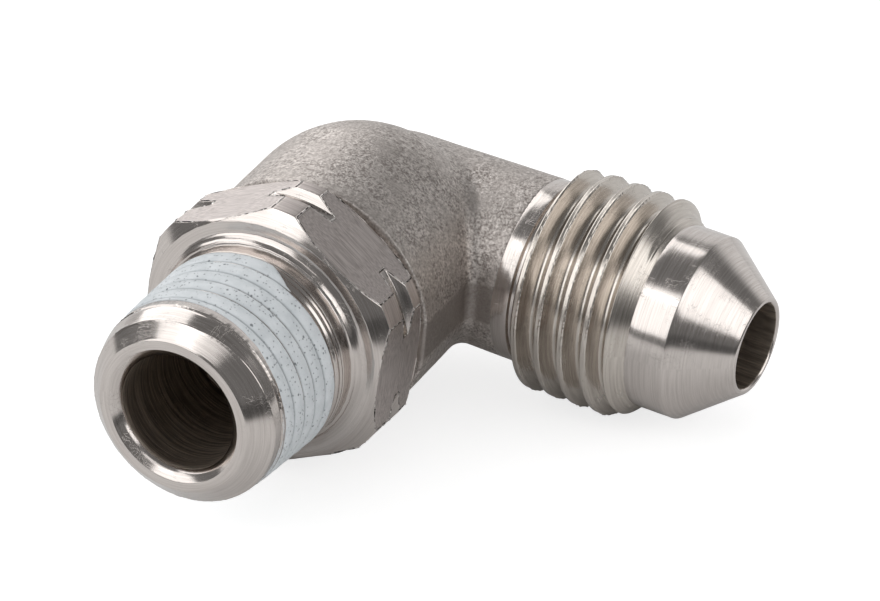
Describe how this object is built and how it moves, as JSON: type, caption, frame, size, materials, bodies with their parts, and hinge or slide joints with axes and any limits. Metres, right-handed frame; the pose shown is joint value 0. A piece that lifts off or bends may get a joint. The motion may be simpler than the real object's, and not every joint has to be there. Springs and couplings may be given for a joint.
{
  "type": "ninety degree flare to taper pipe adapter",
  "caption": "Nickel-plated right-angle pipe adapter: taper pipe thread with sealant film and spanner hexagon at one end, threaded 37 degree flare seat at the other",
  "frame": {"origin": "where the centre lines of the two bores cross", "axes": "the taper thread end points along -Y, the flare end points along +X, and +Z stands square to both arms, through a corner of the hexagon"},
  "size_m": [0.0266, 0.0279, 0.0138],
  "materials": {
    "nickel_plated_brass": "bright nickel plate over brass: turned ends and milled hexagon are glossy with fine tool lines, the forged elbow is dull and grained from blasting",
    "sealant_film": "soft matt white sealant film with small dark specks, creased along the turns of the thread"
  },
  "bodies": {
    "root": {"elbow_body": "nickel_plated_brass", "thread_sealant": "sealant_film"}
  },
  "joints": []
}
